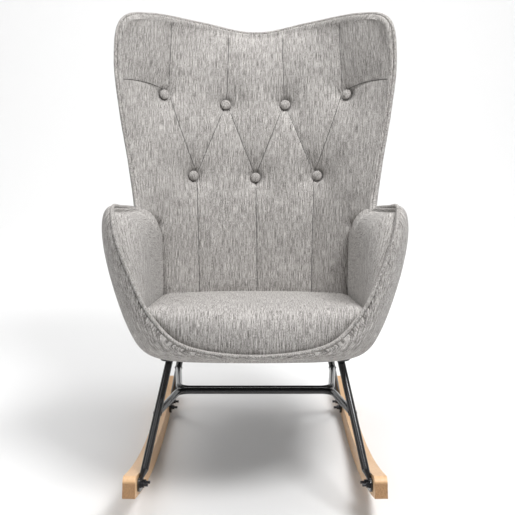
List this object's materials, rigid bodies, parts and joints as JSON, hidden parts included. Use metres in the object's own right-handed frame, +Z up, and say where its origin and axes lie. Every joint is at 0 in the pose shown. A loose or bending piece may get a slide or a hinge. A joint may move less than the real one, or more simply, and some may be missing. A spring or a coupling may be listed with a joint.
{
  "type": "rocking chair",
  "caption": "Wing-back upholstered rocking chair with a padded tub shell, buttoned back, piped rim, black steel tube frame and curved wooden rockers.",
  "frame": {"origin": "on the floor, under the centre of the whole chair's bounding box", "axes": "+Z up, the chair faces -Y, +X to the sitter's left"},
  "size_m": [0.6594, 0.7837, 1.0122],
  "materials": {
    "grey_fabric": "matt woven slub linen",
    "plywood": "unfinished",
    "black_felt": "matt non-woven",
    "black_steel": "satin powder coat",
    "beech": "clear satin lacquer",
    "zinc_steel": "zinc plated",
    "black_zinc": "black zinc plated"
  },
  "bodies": {
    "root": {"outer_cover": "grey_fabric", "back_shell": "plywood", "seat_shell": "plywood", "left_side_shell": "plywood", "right_side_shell": "plywood", "rim_piping": "grey_fabric", "back_pad": "grey_fabric", "left_arm_pad": "grey_fabric", "right_arm_pad": "grey_fabric", "seat_cushion": "grey_fabric", "tufting_buttons": "grey_fabric", "seat_board": "plywood", "t_nuts": "zinc_steel", "dust_cover": "black_felt", "left_seat_rail": "black_steel", "right_seat_rail": "black_steel", "seat_washers": "zinc_steel", "seat_bolts": "zinc_steel", "front_left_leg": "black_steel", "front_right_leg": "black_steel", "rear_left_leg": "black_steel", "rear_right_leg": "black_steel", "front_brace_tube": "black_steel", "rear_brace_tube": "black_steel", "left_rocker": "beech", "right_rocker": "beech", "rocker_bolts": "black_zinc", "rocker_washers": "black_zinc", "rocker_nuts": "black_zinc"}
  },
  "joints": []
}
